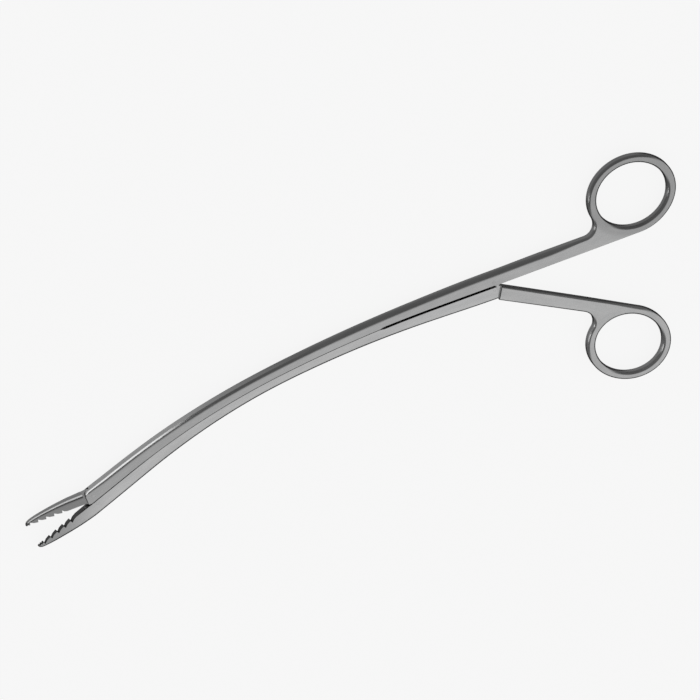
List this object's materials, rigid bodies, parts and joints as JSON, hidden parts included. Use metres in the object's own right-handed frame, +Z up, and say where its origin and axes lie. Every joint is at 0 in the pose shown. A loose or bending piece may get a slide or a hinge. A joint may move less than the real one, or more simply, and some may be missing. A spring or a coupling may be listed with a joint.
{
  "type": "curved tube passing forceps",
  "caption": "Curved steel forceps with ring handles and a split sliding shaft: one half bar slides along the other to open and close a serrated jaw that grips and passes a chest tube.",
  "frame": {"origin": "middle of the bounding box in X and Y, on the flat side it rests on (Z = 0)", "axes": "+X from the jaws towards the finger rings, +Y towards the fixed upper ring, +Z up across the instrument's thickness"},
  "size_m": [0.2918, 0.0886, 0.0058],
  "materials": {
    "satin_steel": "satin, fine-ground along the bars",
    "rivet_steel": "satin, ground flush"
  },
  "bodies": {
    "upper_half": {"upper_shaft": "satin_steel", "lever_pivot_pin": "rivet_steel", "jaw_drive_pin": "rivet_steel", "front_guide_stud": "rivet_steel", "rear_guide_stud": "rivet_steel"},
    "lower_half": {"lower_shaft": "satin_steel", "jaw_pivot_pin": "rivet_steel", "lever_drive_pin": "rivet_steel"},
    "jaw": {"upper_jaw": "satin_steel"},
    "lever": {"ring_lever": "satin_steel"}
  },
  "joints": [
    {"name": "lever_hinge", "type": "hinge", "parent": "upper_half", "child": "lever", "pos_m": [0.06327, 0.01386, 0.0029], "axis": [0, 0, 1], "range_deg": [-4, 22]},
    {"name": "shaft_glide", "type": "hinge", "parent": "upper_half", "child": "lower_half", "pos_m": [0.04556, -0.45996, 0.0029], "axis": [0, 0, -1], "range_deg": [-0.02366, 0.12921]},
    {"name": "jaw_hinge", "type": "hinge", "parent": "lower_half", "child": "jaw", "pos_m": [-0.1158, -0.01581, 0.0029], "axis": [0, 0, 1], "range_deg": [-3.28, 18.01]}
  ],
  "couplings": [
    {"joint": "shaft_glide", "follows": "lever_hinge", "ratio": 0.0058639},
    {"joint": "jaw_hinge", "follows": "lever_hinge", "ratio": 0.81818}
  ]
}
